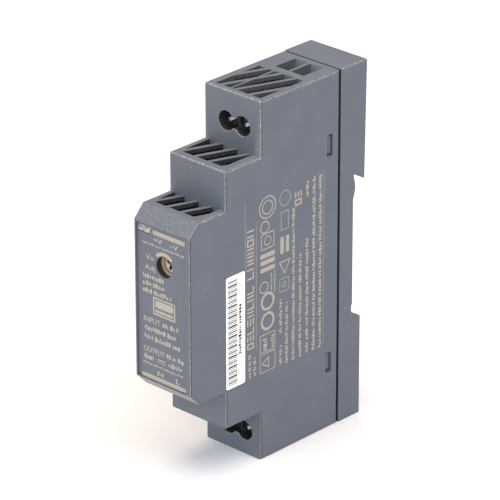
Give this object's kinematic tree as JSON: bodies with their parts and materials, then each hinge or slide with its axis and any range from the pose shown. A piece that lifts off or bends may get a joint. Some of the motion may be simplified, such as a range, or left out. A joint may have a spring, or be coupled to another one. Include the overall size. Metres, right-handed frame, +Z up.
{
  "type": "din rail power supply",
  "caption": "Narrow stepped plastic power supply for a 35 mm rail, with vents on its ledges, screw terminals at both ends, a trimmer and a sprung rail latch.",
  "frame": {"origin": "on the rail seat of the rear base, at the middle of the width and of the 90 mm height, which is the rail centre line", "axes": "+Y from the front face towards the rail, +Z up along the 90 mm height with the output terminals at the top, +X to the right of someone who looks at the front"},
  "size_m": [0.0176, 0.0588, 0.09],
  "materials": {
    "housing_plastic": "moulded blue-grey plastic, fine spark texture",
    "latch_plastic": "moulded dark grey plastic",
    "light_pipe_plastic": "clear grey light pipe",
    "led_resin": "green tinted resin",
    "label_paper": "printed white film label",
    "board_laminate": "green solder mask",
    "terminal_plastic": "black moulded plastic",
    "trimmer_plastic": "blue trimmer body",
    "rotor_plastic": "cream rotor",
    "plated_steel": "bright zinc plate",
    "tinned_brass": "tinned brass",
    "spring_steel": "drawn spring wire",
    "ferrite": "dark sintered ferrite",
    "bobbin_plastic": "black moulded bobbin",
    "winding_tape": "yellow insulating tape",
    "magnet_wire": "enamelled copper wire",
    "can_sleeve": "dark shrink sleeve",
    "film_capacitor_plastic": "yellow box capacitor",
    "blue_coating": "blue lacquer coating",
    "green_coating": "green lacquer coating",
    "fuse_plastic": "brown fuse cap",
    "chip_plastic": "black moulding compound",
    "opto_plastic": "pale grey moulding compound"
  },
  "bodies": {
    "enclosure": {"front_housing": "housing_plastic", "rear_base": "housing_plastic", "latch_spring": "spring_steel", "light_pipe": "light_pipe_plastic", "side_label": "label_paper", "output_terminal_block": "terminal_plastic", "input_terminal_block": "terminal_plastic", "trimmer_body": "trimmer_plastic", "indicator_led": "led_resin", "transformer_core": "ferrite", "transformer_bobbin": "bobbin_plastic", "transformer_winding": "winding_tape", "bulk_capacitor": "can_sleeve", "output_capacitor_upper": "can_sleeve", "output_capacitor_lower": "can_sleeve", "output_choke_core": "ferrite", "output_choke_winding": "magnet_wire", "common_mode_core": "ferrite", "common_mode_winding_upper": "magnet_wire", "common_mode_winding_lower": "magnet_wire", "x_capacitor": "film_capacitor_plastic", "y_capacitor": "blue_coating", "fuse": "fuse_plastic", "inrush_thermistor": "green_coating", "surge_varistor": "blue_coating", "bridge_rectifier": "chip_plastic", "switching_transistor": "chip_plastic", "output_rectifier": "chip_plastic", "controller_chip": "chip_plastic", "optocoupler": "opto_plastic", "voltage_reference": "chip_plastic", "circuit_board": "board_laminate", "output_contact_plus": "tinned_brass", "output_contact_minus": "tinned_brass", "input_contact_neutral": "tinned_brass", "input_contact_line": "tinned_brass"},
    "rail_latch": {"rail_latch": "latch_plastic"},
    "trimmer_rotor": {"trimmer_rotor": "rotor_plastic"},
    "output_screw_plus": {"output_screw_plus": "plated_steel"},
    "output_clamp_plus": {"output_clamp_plus": "tinned_brass"},
    "output_screw_minus": {"output_screw_minus": "plated_steel"},
    "output_clamp_minus": {"output_clamp_minus": "tinned_brass"},
    "input_screw_neutral": {"input_screw_neutral": "plated_steel"},
    "input_clamp_neutral": {"input_clamp_neutral": "tinned_brass"},
    "input_screw_line": {"input_screw_line": "plated_steel"},
    "input_clamp_line": {"input_clamp_line": "tinned_brass"}
  },
  "joints": [
    {"name": "latch_release", "type": "slide", "parent": "enclosure", "child": "rail_latch", "axis": [0, 0, -1], "range_m": [0, 0.003], "stiffness_N_per_m": 1000, "springref_m": -0.001, "deforming": ["latch_spring"]},
    {"name": "trimmer_turn", "type": "hinge", "parent": "enclosure", "child": "trimmer_rotor", "pos_m": [0.0004, -0.0509, 0.00925], "axis": [0, 1, 0], "range_deg": [-130, 130]},
    {"name": "output_clamp_plus_lift", "type": "slide", "parent": "enclosure", "child": "output_clamp_plus", "axis": [0, -1, 0], "range_m": [0, 0.0035]},
    {"name": "output_screw_plus_turn", "type": "hinge", "parent": "enclosure", "child": "output_screw_plus", "pos_m": [-0.00199, -0.029, 0.0374], "axis": [0, 1, 0], "range_deg": [0, 2530]},
    {"name": "output_clamp_minus_lift", "type": "slide", "parent": "enclosure", "child": "output_clamp_minus", "axis": [0, -1, 0], "range_m": [0, 0.0035]},
    {"name": "output_screw_minus_turn", "type": "hinge", "parent": "enclosure", "child": "output_screw_minus", "pos_m": [0.00309, -0.029, 0.0374], "axis": [0, 1, 0], "range_deg": [0, 2530]},
    {"name": "input_clamp_neutral_lift", "type": "slide", "parent": "enclosure", "child": "input_clamp_neutral", "axis": [0, -1, 0], "range_m": [0, 0.0035]},
    {"name": "input_screw_neutral_turn", "type": "hinge", "parent": "enclosure", "child": "input_screw_neutral", "pos_m": [-0.00154, -0.029, -0.039], "axis": [0, 1, 0], "range_deg": [0, 2530]},
    {"name": "input_clamp_line_lift", "type": "slide", "parent": "enclosure", "child": "input_clamp_line", "axis": [0, -1, 0], "range_m": [0, 0.0035]},
    {"name": "input_screw_line_turn", "type": "hinge", "parent": "enclosure", "child": "input_screw_line", "pos_m": [0.00354, -0.029, -0.039], "axis": [0, 1, 0], "range_deg": [0, 2530]}
  ],
  "couplings": [
    {"joint": "output_screw_plus_turn", "follows": "output_clamp_plus_lift", "rad_per_m": 12566},
    {"joint": "output_screw_minus_turn", "follows": "output_clamp_minus_lift", "rad_per_m": 12566},
    {"joint": "input_screw_neutral_turn", "follows": "input_clamp_neutral_lift", "rad_per_m": 12566},
    {"joint": "input_screw_line_turn", "follows": "input_clamp_line_lift", "rad_per_m": 12566}
  ]
}
